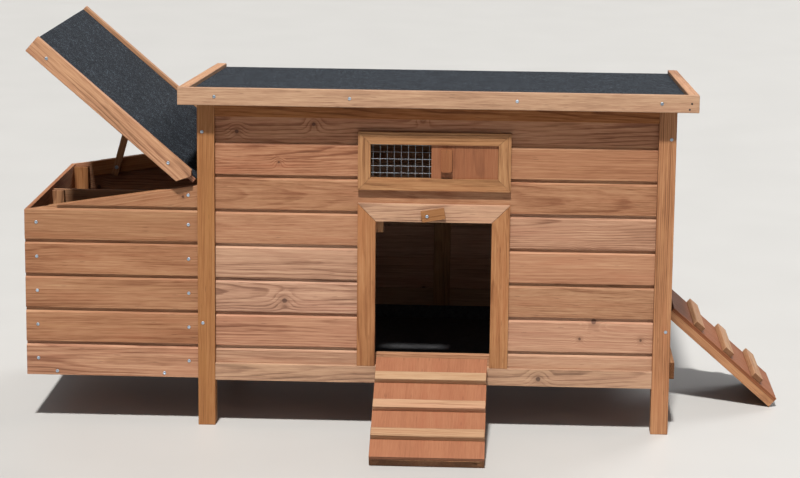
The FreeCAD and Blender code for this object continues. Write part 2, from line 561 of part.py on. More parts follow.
def screws(button_screws):
    """Screw heads on the front faces, as thin round discs."""
    def heads(places, face):
        return [rod((across, f"{face} - headThick", up), "screwHead", "headThick", "Y")
                for across, up in places]
    legs_at = [(f"{side} * (houseHalf - legScrewIn)", up)
               for side in (-1, 1) for up in ("legScrewHigh", "legScrewLow")]
    column = [(across, f"nestLow + pitch * {index} + nestScrewRise")
              for across in ("-houseHalf - nestLong + nestScrewLeft", "-houseHalf - nestScrewRight")
              for index in range(5)]
    column.append(("-houseHalf - nestScrewRight", "nestTop - nestScrewTop"))
    column += [(f"-houseHalf - {across}", "nestLow + nestFootRise")
               for across in ("nestFootLeft", "nestFootRight")]
    fascia = heads([(f"fasciaScrew{letter}", "-fasciaHigh / 2") for letter in "ABCD"], "0")
    on_roof = group(fascia, (("0", "-roofFront", "roofTop"), X_AXIS, "-roofFall"))
    node("frame_screws", heads(legs_at, "0") + heads(column, "nestFront") + [on_roof] + button_screws)
    lid_at = [("-lidLong + lidScrewIn", "lidRise - margin"), ("lidScrewRight", "lidRise + margin")]
    node("lid_screws", heads(lid_at, "lidFront"), LID)


def check_and_write():
    doc.recompute()
    for item in doc.Objects:
        if "Invalid" in item.State or "Error" in item.State:
            raise RuntimeError(f"{item.Label} failed: {item.State}")
    labels = [item.Label for item in nodes]
    if len(set(labels)) != len(labels) or len(labels) > 60:
        raise RuntimeError("node names repeat, or there are too many")
    os.makedirs("parts", exist_ok=True)
    whole = FreeCAD.BoundBox()
    for item in nodes:
        shape = item.Shape
        if shape.isNull() or not shape.isValid() or not shape.Solids:
            raise RuntimeError(f"{item.Label} is not a valid solid")
        whole.add(shape.BoundBox)
    for item in nodes:
        item.Shape.exportStep(f"parts/{item.Label}.step")
    print(len(nodes), "nodes", sum(len(item.Shape.Solids) for item in nodes), "solids")
    print("box", [round(number, 2) for number in
                  (whole.XMin, whole.YMin, whole.ZMin, whole.XMax, whole.YMax, whole.ZMax)])


legs()
rails()
claddings()
door_frames()
window()
pivot_screws = buttons()
ramps()
roof()
nest_box()
lid()
prop()
inside()
screws(pivot_screws)
check_and_write()
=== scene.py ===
import json
import math
import random

import bmesh
import bpy
from mathutils import Matrix, Vector, noise

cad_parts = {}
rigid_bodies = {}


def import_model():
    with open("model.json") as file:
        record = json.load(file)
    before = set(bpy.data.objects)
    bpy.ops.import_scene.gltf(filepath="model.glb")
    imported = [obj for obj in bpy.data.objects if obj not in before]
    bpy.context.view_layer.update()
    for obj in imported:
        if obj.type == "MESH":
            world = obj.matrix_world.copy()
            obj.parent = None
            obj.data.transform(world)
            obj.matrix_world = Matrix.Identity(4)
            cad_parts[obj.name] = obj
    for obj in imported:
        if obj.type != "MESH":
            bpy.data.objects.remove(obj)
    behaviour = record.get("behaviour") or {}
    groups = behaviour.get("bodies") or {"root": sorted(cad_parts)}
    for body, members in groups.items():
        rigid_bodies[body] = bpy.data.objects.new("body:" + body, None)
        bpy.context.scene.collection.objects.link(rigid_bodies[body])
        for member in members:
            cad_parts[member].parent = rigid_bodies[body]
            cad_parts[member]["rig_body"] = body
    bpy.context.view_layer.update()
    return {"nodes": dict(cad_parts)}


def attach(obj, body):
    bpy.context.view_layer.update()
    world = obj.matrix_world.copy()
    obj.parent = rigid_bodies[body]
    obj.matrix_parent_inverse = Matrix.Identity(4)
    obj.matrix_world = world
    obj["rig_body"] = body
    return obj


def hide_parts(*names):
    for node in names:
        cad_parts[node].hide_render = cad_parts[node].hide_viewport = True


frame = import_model()
draw = random.Random(527)
NODES = frame["nodes"]
MM = 0.001


# ------------------------------------------------------------------ node materials
class Graph:
    """Short calls for building one node material."""

    def __init__(self, name):
        self.material = bpy.data.materials.new(name)
        self.material.use_nodes = True
        self.tree = self.material.node_tree
        self.shader = self.tree.nodes["Principled BSDF"]

    def add(self, kind, inputs, **settings):
        node = self.tree.nodes.new(kind)
        for key, value in settings.items():
            setattr(node, key, value)
        for key, value in inputs.items():
            if isinstance(value, bpy.types.NodeSocket):
                self.tree.links.new(value, node.inputs[key])
            else:
                node.inputs[key].default_value = value
        return node

    def attribute(self, name):
        return self.add("ShaderNodeAttribute", {}, attribute_name=name).outputs["Vector"]

    def split(self, vector):
        return self.add("ShaderNodeSeparateXYZ", {0: vector}).outputs[:]

    def join(self, x, y, z):
        return self.add("ShaderNodeCombineXYZ", {0: x, 1: y, 2: z}).outputs[0]

    def math(self, operation, *values, clamp=False):
        inputs = dict(enumerate(values))
        return self.add("ShaderNodeMath", inputs, operation=operation, use_clamp=clamp).outputs[0]

    def scaled(self, vector, x, y, z):
        return self.add("ShaderNodeVectorMath", {0: vector, 1: (x, y, z)}, operation="MULTIPLY").outputs[0]

    def noise(self, vector, seed, detail=2.0, roughness=0.5):
        inputs = {"Vector": vector, "W": seed, "Scale": 1.0, "Detail": detail, "Roughness": roughness}
        return self.add("ShaderNodeTexNoise", inputs, noise_dimensions="4D").outputs[0]

    def span(self, value, low, high, to_low=0.0, to_high=1.0):
        inputs = {0: value, 1: low, 2: high, 3: to_low, 4: to_high}
        return self.add("ShaderNodeMapRange", inputs, interpolation_type="SMOOTHSTEP").outputs[0]

    def ramp(self, value, stops):
        node = self.add("ShaderNodeValToRGB", {0: value})
        points = node.color_ramp.elements
        while len(points) < len(stops):
            points.new(0.5)
        for point, (place, colour) in zip(points, stops):
            point.position = place
            point.color = (*colour, 1)
        return node.outputs[0]

    def blend(self, share, first, second, mode="MIX"):
        first = first if isinstance(first, bpy.types.NodeSocket) else (*first, 1)
        second = second if isinstance(second, bpy.types.NodeSocket) else (*second, 1)
        node = self.add("ShaderNodeMix", {}, data_type="RGBA", blend_type=mode)
        for index, value in ((0, share), (6, first), (7, second)):
            if isinstance(value, bpy.types.NodeSocket):
                self.tree.links.new(value, node.inputs[index])
            else:
                node.inputs[index].default_value = value
        return node.outputs[2]

    def finish(self, colour, roughness, height, strength, depth, **fixed):
        bump = self.add("ShaderNodeBump", {"Height": height, "Strength": strength, "Distance": depth})
        self.tree.links.new(bump.outputs[0], self.shader.inputs["Normal"])
        self.tree.links.new(colour, self.shader.inputs["Base Color"])
        self.tree.links.new(roughness, self.shader.inputs["Roughness"])
        for name, value in fixed.items():
            self.shader.inputs[name.replace("_", " ")].default_value = value
        return self.material


def wood(name, pale, body, dark, ring=0.0045, contrast=0.5, knots=0.3, veneer=False, ply=0.0):
    """Softwood: growth rings round a pith line, streaks, knots, darker end grain, worn edges."""
    knot_cells = 6.5
    figure_weight, streak_weight = (0.2, 0.6) if veneer else (0.42, 1.35)
    g = Graph(name)
    grain = g.attribute("grain")
    u, v, w = g.split(grain)
    tone, seed, warm = g.split(g.attribute("board"))
    worn, end, side = g.split(g.attribute("faces"))
    wave = g.math("SUBTRACT", g.noise(g.scaled(grain, 1.8, 8, 8), seed, 3.0), 0.5)
    ripple = g.math("SUBTRACT", g.noise(g.scaled(grain, 9, 60, 60), seed, 3.0), 0.5)
    spot_at = g.join(g.math("MULTIPLY_ADD", seed, 3.1, u), g.math("MULTIPLY_ADD", seed, 1.7, v), 0.0)
    spots = g.add("ShaderNodeTexVoronoi", {"Vector": spot_at, "Scale": knot_cells}, voronoi_dimensions="2D")
    shape = g.math("MULTIPLY", g.noise(g.scaled(grain, 120, 120, 120), seed), 0.004)
    away = g.math("DIVIDE", spots.outputs["Distance"], knot_cells)
    away = g.math("ADD", away, g.math("SUBTRACT", shape, 0.002))
    pick, size, _ = g.split(spots.outputs["Color"])
    picked = g.math("LESS_THAN", pick, knots)
    knot = g.math("MULTIPLY_ADD", size, 0.0035, 0.0025)
    near = g.math("DIVIDE", away, knot)
    fall = g.math("POWER", g.math("DIVIDE", near, 4.5), 2.0)
    swell = g.math("POWER", 2.718, g.math("MULTIPLY", fall, -1.0))
    swell = g.math("MULTIPLY", swell, picked)
    core = g.math("MULTIPLY", g.span(near, 0.8, 1.25, 1.0, 0.0), picked)
    halo = g.math("MULTIPLY", g.span(near, 1.0, 4.0, 1.0, 0.0), picked)
    if veneer:
        radius = g.math("ADD", g.math("MULTIPLY", v, 0.16), g.math("MULTIPLY", wave, 0.05))
    else:
        flat = g.math("ADD", g.math("POWER", v, 2.0), g.math("POWER", w, 2.0))
        radius = g.math("ADD", g.math("POWER", flat, 0.5), g.math("MULTIPLY", wave, 0.022))
        radius = g.math("ADD", radius, g.math("MULTIPLY", swell, 0.010))
    radius = g.math("ADD", radius, g.math("MULTIPLY", ripple, 0.0035))
    turn = g.math("FRACT", g.math("DIVIDE", radius, ring))
    rings = g.split(g.ramp(turn, ((0.0, (0.0,) * 3), (0.5, (0.12,) * 3), (0.84, (1,) * 3),
                                  (0.93, (0.7,) * 3), (1.0, (0.0,) * 3))))[0]
    lines = g.math("MULTIPLY_ADD", g.math("SINE", g.math("MULTIPLY", seed, 37.0)), 0.62, 0.34)
    broad = g.noise(g.scaled(grain, 3, 26, 26), g.math("ADD", seed, 5.0), 3.0, 0.6)
    figure = g.noise(g.scaled(grain, 2.6, 110, 110), g.math("ADD", seed, 9.0), 3.0, 0.7)
    streak = g.noise(g.scaled(grain, 2.6, 300, 300), seed, 4.0, 0.75)
    fibre = g.noise(g.scaled(grain, 24, 1300, 1300), seed, 2.0)
    strength = g.span(broad, 0.3, 0.7, 0.25, 1.2)
    shade = g.math("MULTIPLY", g.math("MULTIPLY", rings, lines), g.math("MULTIPLY", strength, contrast))
    for pattern, weight in ((figure, figure_weight), (streak, streak_weight), (fibre, 0.8), (broad, 0.65)):
        shade = g.math("ADD", shade, g.math("MULTIPLY", g.math("SUBTRACT", pattern, 0.5), weight))
    shade = g.math("ADD", shade, 0.42, clamp=True)
    colour = g.ramp(shade, ((0.0, pale), (0.42, body), (0.8, dark), (1.0, [x * 0.72 for x in dark])))
    patch = g.noise(g.scaled(grain, 3.5, 32, 32), g.math("ADD", seed, 13.0), 3.0, 0.6)
    for start, stop, shift in ((0.48, 0.72, (0.98, 0.80, 0.78)), (0.44, 0.26, (1.18, 1.28, 1.22))):
        colour = g.blend(g.span(patch, start, stop, 0.0, 0.42), colour, [x * y for x, y in zip(body, shift)])
    fleck = g.add("ShaderNodeTexVoronoi", {"Vector": g.scaled(grain, 22, 190, 190), "Scale": 1.0})
    mark = g.math("MULTIPLY", g.span(fleck.outputs["Distance"], 0.10, 0.24, 1.0, 0.0),
                  g.math("GREATER_THAN", g.split(fleck.outputs["Color"])[0], 0.86))
    colour = g.blend(g.math("MULTIPLY", mark, 0.42), colour, [x * 0.5 for x in dark])
    colour = g.blend(g.math("MULTIPLY", halo, 0.42), colour, [x * 0.8 for x in dark])
    colour = g.blend(g.math("MULTIPLY", core, 0.8), colour, (0.065, 0.024, 0.014))
    if ply:
        layer = g.math("FRACT", g.math("DIVIDE", w, ply))
        dark_layer = g.math("MULTIPLY", g.math("GREATER_THAN", layer, 0.5), g.math("MAXIMUM", side, end))
        colour = g.blend(g.math("MULTIPLY", dark_layer, 0.55), colour, [x * 0.5 for x in dark])
    else:
        colour = g.blend(end, colour, (0.46, 0.38, 0.33), "MULTIPLY")
    scuff = g.span(g.noise(g.scaled(grain, 30, 90, 90), seed, 3.0), 0.38, 0.62)
    rubbed = g.math("MULTIPLY", g.math("MULTIPLY", worn, scuff), 0.45)
    colour = g.blend(rubbed, colour, [min(1, x * 1.3) for x in pale])
    warmth = g.math("MULTIPLY_ADD", warm, 0.10, 1.03)
    tint = {"Hue": g.math("MULTIPLY_ADD", g.math("MAXIMUM", warm, 0.0), -0.010, 0.506),
            "Saturation": g.math("MULTIPLY_ADD", g.math("MAXIMUM", tone, 0.0), -0.22, warmth),
            "Value": g.math("MULTIPLY_ADD", tone, 0.4, 0.80), "Color": colour}
    colour = g.add("ShaderNodeHueSaturation", tint).outputs[0]
    height = g.math("SUBTRACT", g.math("ADD", shade, fibre), g.math("ADD", core, mark))
    rough = g.span(g.math("ADD", streak, fibre), 0.6, 1.4, 0.56, 0.80)
    return g.finish(colour, rough, height, 0.4, 0.0006, Specular_IOR_Level=0.3)


def mineral_felt(name):
    """Roofing felt: fine mineral grit in dark bitumen, with a few pale granules."""
    g = Graph(name)
    grain = g.attribute("grain")
    fine = g.add("ShaderNodeTexVoronoi", {"Vector": grain, "Scale": 560.0})
    coarse = g.add("ShaderNodeTexVoronoi", {"Vector": grain, "Scale": 290.0})
    first = g.split(fine.outputs["Color"])[0]
    second = g.split(coarse.outputs["Color"])[0]
    level = g.math("ADD", g.math("MULTIPLY", first, 0.45), g.math("MULTIPLY", second, 0.55))
    colour = g.ramp(level, ((0.0, (0.004, 0.005, 0.008)), (0.5, (0.014, 0.018, 0.024)),
                            (0.72, (0.045, 0.053, 0.065)), (0.96, (0.12, 0.14, 0.165))))
    patch = g.span(g.noise(g.scaled(grain, 22, 22, 22), 3.0, 5.0, 0.7), 0.3, 0.7, 0.66, 1.20)
    colour = g.blend(1.0, colour, g.join(patch, patch, patch), "MULTIPLY")
    height = g.math("SUBTRACT", first, fine.outputs["Distance"])
    rough = g.span(second, 0, 1, 0.78, 0.95)
    return g.finish(colour, rough, height, 0.8, 0.0010, Specular_IOR_Level=0.15)


def zinc(name, low=(0.30, 0.36, 0.43), high=(0.50, 0.58, 0.68), smooth=0.30, rougher=0.58, metallic=0.9,
         gloss=0.5):
    """Galvanised steel: zinc spangle, fine scratches, dull patches."""
    g = Graph(name)
    place = g.add("ShaderNodeTexCoord", {}).outputs["Object"]
    spangle = g.add("ShaderNodeTexVoronoi", {"Vector": place, "Scale": 190.0})
    cell = g.split(spangle.outputs["Color"])[0]
    dull = g.noise(g.scaled(place, 40, 40, 40), 1.0, 4.0)
    colour = g.ramp(g.math("ADD", g.math("MULTIPLY", cell, 0.5), g.math("MULTIPLY", dull, 0.5)),
                    ((0.2, low), (0.8, high)))
    scratch = g.noise(g.scaled(place, 60, 900, 900), 5.0)
    rough = g.span(g.math("ADD", cell, dull), 0.3, 1.7, smooth, rougher)
    height = g.math("ADD", cell, scratch)
    return g.finish(colour, rough, height, 0.15, 0.0002, Metallic=metallic, Specular_IOR_Level=gloss)


# (tone, warm) of a whole node: tone is how light the wood is, warm how red and rich.
TONES = {"roof_fascia": (0.40, -1.2), "roof_battens": (0.8, 0.4), "lid_front_fascia": (0.75, 0.4),
         "vent_slider": (0.3, 0.3), "vent_knob": (0.1, 0.2), "front_button": (-0.3, 0.5),
         "front_ramp_panel": (0.48, 0.4), "leg_front_left": (-0.14, 0.6), "leg_front_right": (0.40, 0.6),
         "window_frame": (0.15, 0.1), "side_ramp_rungs": (0.3, 0.8), "side_ramp_panel": (0.2, 0.5),
         "tray_front": (-0.2, 0.1)}
# Tones of the weather boards, from the lowest row up.
LEFT_TONES = (0.7, 0.65, 0.92, 0.72, 0.28, 0.20, 0.32, 0.35, 0.35)
RIGHT_TONES = (0.65, 0.75, 0.25, 0.42, 0.62, 0.20, 0.22, 0.35, 0.35)
NEST_TONES = (0.56, 0.15, 0.12, 0.13, 0.0, 0.10)
BOARD_PITCH = 85 * MM
WALL_LOW = 114.5 * MM
NEST_LOW = 117 * MM
DOOR_RIGHT = 80 * MM
TOP_RAIL_LOW = 700 * MM
SILL_FRONT = -180 * MM
STOP_HIGH = 170 * MM
LOOKS = {
    "boards": wood("fir_boards", (0.50, 0.285, 0.165), (0.365, 0.178, 0.098), (0.215, 0.086, 0.042),
                   knots=0.36),
    "frame_wood": wood("fir_frame", (0.51, 0.275, 0.135), (0.385, 0.178, 0.080), (0.225, 0.090, 0.037),
                       knots=0.045),
    "plywood": wood("red_plywood", (0.335, 0.138, 0.066), (0.272, 0.096, 0.042), (0.185, 0.060, 0.026),
                    ring=0.0042, contrast=0.22, knots=0.0, veneer=True, ply=0.006),
    "pale_wood": wood("pale_wood", (0.46, 0.285, 0.165), (0.37, 0.205, 0.11), (0.25, 0.12, 0.058),
                      knots=0.05),
    "felt": mineral_felt("roof_felt_grit"),
    "galvanised": zinc("galvanised_steel"),
    # The tray's near-black zinc is painted shade for the dark inside of the house.
    "tray": zinc("shade_darkened_zinc", (0.040, 0.040, 0.043), (0.085, 0.085, 0.09), 0.75, 0.95, 0.1, 0.08),
    "wire": zinc("fence_wire", (0.28, 0.31, 0.34), (0.46, 0.50, 0.54), 0.55, 0.75, 0.7, 0.3),
    "nail": zinc("dark_nails", (0.05, 0.035, 0.03), (0.11, 0.08, 0.07), 0.5, 0.7, 0.6),
}


# ------------------------------------------------------------------ mesh helpers
def tidy_mesh(name):
    """A CAD node's mesh with its triangles joined into flat faces."""
    bm = bmesh.new()
    bm.from_mesh(NODES[name].data)
    bmesh.ops.remove_doubles(bm, verts=bm.verts, dist=0.000002)
    bmesh.ops.dissolve_limit(bm, angle_limit=0.01, verts=bm.verts, edges=bm.edges)
    bmesh.ops.recalc_face_normals(bm, faces=bm.faces)
    return bm


def islands(bm):
    """The separate closed bodies in a mesh, as lists of faces."""
    for face in bm.faces:
        face.tag = False
    found = []
    for start in bm.faces:
        if start.tag:
            continue
        start.tag = True
        group = [start]
        for face in group:
            for edge in face.edges:
                for other in edge.link_faces:
                    if not other.tag:
                        other.tag = True
                        group.append(other)
        found.append(group)
    return found


def directions(faces, turned=False):
    """Length, width and thickness directions of one board."""
    edge = max((edge for face in faces for edge in face.edges), key=lambda e: round(e.calc_length(), 5))
    along = (edge.verts[1].co - edge.verts[0].co).normalized()
    if max(along, key=abs) < 0:
        along = -along
    broad = max(faces, key=lambda f: round(f.calc_area(), 7)).normal
    thick = (broad - broad.dot(along) * along).normalized()
    if max(thick, key=abs) < 0:
        thick = -thick
    across = thick.cross(along)
    return (across, -along, thick) if turned else (along, across, thick)


def verts_of(faces):
    """Every vertex of some faces, once each and in a fixed order."""
    seen = {}
    for face in faces:
        for vert in face.verts:
            seen[vert.index] = vert
    return list(seen.values())


def toned(name, middle, along, kind):
    """Some parts have a known (tone, warm) instead of the board's own; the top rail's tone is painted shade
    and the stop batten's is partly painted light.
    """
    tone, warm = kind.x, kind.z
    if name == "nest_front":
        row = min(len(NEST_TONES) - 1, int((middle.z - NEST_LOW) / BOARD_PITCH))
        tone, warm = NEST_TONES[row] + 0.08 * (kind.x - 0.5), 0.3 + 0.3 * kind.z
    elif name in TONES:
        tone, warm = TONES[name]
    elif name == "front_cladding":
        row = min(len(LEFT_TONES) - 1, int((middle.z - WALL_LOW) / BOARD_PITCH))
        tone = (LEFT_TONES if middle.x < DOOR_RIGHT else RIGHT_TONES)[row] + 0.1 * (kind.x - 0.5)
        warm = 0.75 * kind.z + 0.25 * (1 - tone)
    elif name == "front_rails":
        # The top rail's dark, deep red tone is painted shade: it deepens the shade under the roof's overhang.
        tone, warm = (-0.3, 1.1) if middle.z > TOP_RAIL_LOW else (0.62, -0.9)
    elif name == "front_door_frame":
        tone, warm = (0.95, -0.2) if abs(along.x) > 0.9 else (0.2, 0.6)
    # The stop batten's pale tone is partly its own pale wood and partly painted light, lifting its front face
    # where the door recess shades it.
    elif name == "door_sills" and middle.z < STOP_HIGH and middle.y < SILL_FRONT:
        tone, warm = 0.75, 0.6
    return Vector((tone, kind.y, warm))


def paint(bm, name, worn=(), turned=False, near=0.03, far=0.09, lean=1.6):
    """Gives each board its own grain: a pith line beside it, a tone and a seed."""
    bm.verts.index_update()
    grain = bm.verts.layers.float_vector.new("grain")
    board = bm.verts.layers.float_vector.new("board")
    marks = bm.faces.layers.float_vector.new("faces")
    worn = set(worn)
    for faces in islands(bm):
        along, across, thick = directions(faces, turned)
        verts = verts_of(faces)
        middle = sum((vert.co for vert in verts), Vector()) / len(verts)
        tilt = Matrix.Rotation(math.radians(draw.uniform(-lean, lean)), 3, "Y")
        swing = Matrix.Rotation(math.radians(draw.uniform(-lean, lean) / 2), 3, "Z")
        shift = Vector((draw.uniform(-5, 5), draw.uniform(-0.03, 0.03),
                        draw.choice((-1, 1)) * draw.uniform(near, far)))
        kind = toned(name, middle, along, Vector((draw.random(), draw.uniform(0, 40), draw.random())))
        for vert in verts:
            local = vert.co - middle
            local = Vector((local.dot(along), local.dot(across), local.dot(thick)))
            vert[grain] = tilt @ swing @ local + shift
            vert[board] = kind
        for face in faces:
            end = 1.0 if abs(face.normal.dot(along)) > 0.75 else 0.0
            side = 1.0 if abs(face.normal.dot(across)) > 0.75 else 0.0
            face[marks] = (1.0 if face in worn else 0.0, end, side)


def piece(bm, name, body, look, *nodes, slot=None):
    """Turns a mesh into a piece that rides on a body and stands for CAD nodes."""
    mesh = bpy.data.meshes.new(name)
    for face in bm.faces:
        face.smooth = True
    bm.to_mesh(mesh)
    bm.free()
    mesh.materials.append(LOOKS[look])
    made = bpy.data.objects.new(name, mesh)
    bpy.context.scene.collection.objects.link(made)
    even = made.modifiers.new("even", "WEIGHTED_NORMAL")
    even.weight = 90
    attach(made, body)
    if nodes:
        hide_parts(*nodes)
    return made


def round_edges(bm, width, segments=2, angle=0.3):
    """Rounds every sharp edge. Returns the new faces."""
    sharp = [edge for edge in bm.edges if len(edge.link_faces) == 2 and edge.calc_face_angle(0) > angle]
    made = bmesh.ops.bevel(bm, geom=sharp, offset=width, segments=segments, profile=0.65,
                           affect="EDGES", clamp_overlap=True)
    return made["faces"]


def look_of(name):
    """The record slot that a CAD node's material is named after."""
    return NODES[name].data.materials[0].name


def timber(name, width=0.0012, turned=False, segments=2, **grain):
    """A wooden node: each board with rounded, worn edges and its own grain."""
    bm = tidy_mesh(name)
    worn = round_edges(bm, width, segments)
    paint(bm, name, worn, turned, **grain)
    return piece(bm, name + "_wood", NODES[name]["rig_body"], look_of(name), name)


def metal(name, width=0.0003):
    """A steel node with softened edges, and countersunk screws in its hinge leaves."""
    bm = tidy_mesh(name)
    heads = []
    if "hinge" in name:
        for faces in islands(bm):
            verts = verts_of(faces)
            mean = sum((vert.co for vert in verts), Vector()) / len(verts)
            plates = sorted(faces, key=lambda face: -round(face.calc_area(), 9))[:2]
            plate = min(plates, key=lambda face: abs((mean - face.calc_center_median()).dot(face.normal)))
            along, across, _ = directions(faces)
            middle = plate.calc_center_bounds()
            away = (middle - mean).dot(across)
            for share in (-0.68, 0.68) if "lid" in name else (-0.68, 0.0, 0.68):
                low = (6.0 if share else 5.0) * MM
                heads.append((middle + along * share * 25 * MM + across * math.copysign(low / 2, away),
                              plate.normal.copy()))
    round_edges(bm, width, 2, 0.6)
    for spot, way in heads:
        screw_head(bm, spot - way * 0.3 * MM, way, 3.2 * MM, 0.9 * MM)
    bmesh.ops.recalc_face_normals(bm, faces=bm.faces)
    # tray_pan takes the near-black zinc that paints the shade inside the house.
    look = "tray" if name == "tray_pan" else "galvanised"
    return piece(bm, name + "_metal", NODES[name]["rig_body"], look, name, slot="galvanised")


def frame_of(faces):
    """Middle, directions and half sizes of one box-like body."""
    verts = verts_of(faces)
    along, across, thick = directions(faces)
    ends = []
    for way in (along, across, thick):
        reach = [vert.co.dot(way) for vert in verts]
        ends.append((min(reach), max(reach)))
    middle = sum((way * (low + high) / 2 for way, (low, high) in zip((along, across, thick), ends)), Vector())
    return middle, (along, across, thick), [(high - low) / 2 for low, high in ends]


def screw_head(bm, centre, out, radius, high, cross=True):
    """A pan head with a rolled rim and a cross recess, standing on a surface."""
    side = out.orthogonal().normalized()
    up = out.cross(side)
    turn = draw.uniform(0, math.pi / 2)

    def ring(size, level, count=24):
        loop = []
        for index in range(count):
            angle = turn + 2 * math.pi * index / count
            spot = centre + out * level + size * (side * math.cos(angle) + up * math.sin(angle))
            loop.append(bm.verts.new(spot))
        return loop

    def skirt(low, top):
        for index, vert in enumerate(low):
            after = (index + 1) % len(low)
            bm.faces.new((vert, low[after], top[after], top[index]))

    rings = [ring(radius * share, high * level) for share, level in (
        (1.0, 0.0), (1.0, 0.45), (0.93, 0.72), (0.78, 0.92), (0.60, 1.0))]
    bm.faces.new(list(reversed(rings[0])))
    for low, top in zip(rings, rings[1:]):
        skirt(low, top)
    if not cross:
        bm.faces.new(rings[-1])
        return
    long, wide = radius * 0.46, radius * 0.11
    outline = ((long, -wide), (long, wide), (wide, wide), (wide, long), (-wide, long), (-wide, wide),
               (-long, wide), (-long, -wide), (-wide, -wide), (-wide, -long), (wide, -long), (wide, -wide))
    rim = []
    floor = []
    for across, along in outline:
        x = across * math.cos(turn) - along * math.sin(turn)
        y = across * math.sin(turn) + along * math.cos(turn)
        rim.append(bm.verts.new(centre + out * high + side * x + up * y))
        floor.append(bm.verts.new(centre + out * high * 0.35 + 0.7 * (side * x + up * y)))
    skirt(rim, floor)
    bm.faces.new(floor)
    edges = [bm.edges.get((loop[index], loop[(index + 1) % len(loop)])) for loop in (rings[-1], rim)
             for index in range(len(loop))]
    bmesh.ops.triangle_fill(bm, edges=edges, use_beauty=True)


def screw_heads(name):
    """Every disc of a fastener node as a cross-recessed head on its surface."""
    source = tidy_mesh(name)
    bm = bmesh.new()
    for faces in islands(source):
        verts = verts_of(faces)
        caps = sorted(faces, key=lambda face: -face.calc_area())[:2]
        way = caps[0].normal.copy()
        length = max(vert.co.dot(way) for vert in verts) - min(vert.co.dot(way) for vert in verts)
        if way.y > 0 or (abs(way.y) < 0.3 and way.x < 0):
            way = -way
        centre = sum((vert.co for vert in verts), Vector()) / len(verts)
        top = max(vert.co.dot(way) for vert in verts)
        radius = max((vert.co - centre - way * (vert.co - centre).dot(way)).length for vert in verts)
        high = min(length, 1.5 * MM)
        foot = centre + way * (top - high - centre.dot(way))
        screw_head(bm, foot, way, radius, high)
        if length > 3 * MM:
            shank(bm, foot, way, 2.4 * MM, length - high)
    source.free()
    bmesh.ops.recalc_face_normals(bm, faces=bm.faces)
    return piece(bm, name + "_heads", NODES[name]["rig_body"], "galvanised", name)


def tube(bm, points, radius, sides=8):
    """A closed round tube along a line of points."""
    loops = []
    for index, point in enumerate(points):
        ahead = points[min(index + 1, len(points) - 1)] - points[max(index - 1, 0)]
        ahead.normalize()
        first = ahead.orthogonal() if index == 0 else first - first.dot(ahead) * ahead
        first.normalize()
        second = ahead.cross(first)
        loops.append([bm.verts.new(point + radius * (first * math.cos(turn) + second * math.sin(turn)))
                      for turn in (2 * math.pi * step / sides for step in range(sides))])
    for low, top in zip(loops, loops[1:]):
        for index in range(sides):
            after = (index + 1) % sides
            bm.faces.new((low[index], low[after], top[after], top[index]))
    bm.faces.new(list(reversed(loops[0])))
    bm.faces.new(loops[-1])


def shank(bm, foot, way, radius, length):
    """A screw's round shaft, from under its head into the wood."""
    tube(bm, [foot, foot - way * length / 2, foot - way * length], radius, 12)


def welded_mesh(name):
    """Each wire as a round, slightly uneven rod; upright wires lie in front of level ones."""
    source = tidy_mesh(name)
    bm = bmesh.new()
    for faces in islands(source):
        middle, (along, across, _), half = frame_of(faces)
        count = max(8, int(half[0] * 2 / (6 * MM)))
        phase = draw.uniform(0, 6.28)
        points = []
        for step in range(count + 1):
            reach = -half[0] + 2 * half[0] * step / count
            sway = 0.12 * MM * math.sin(phase + reach * 370)
            points.append(middle + along * reach + across * sway)
        tube(bm, points, 0.42 * MM)
    source.free()
    return piece(bm, "wire_mesh", NODES[name]["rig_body"], "wire", name, slot="galvanised")


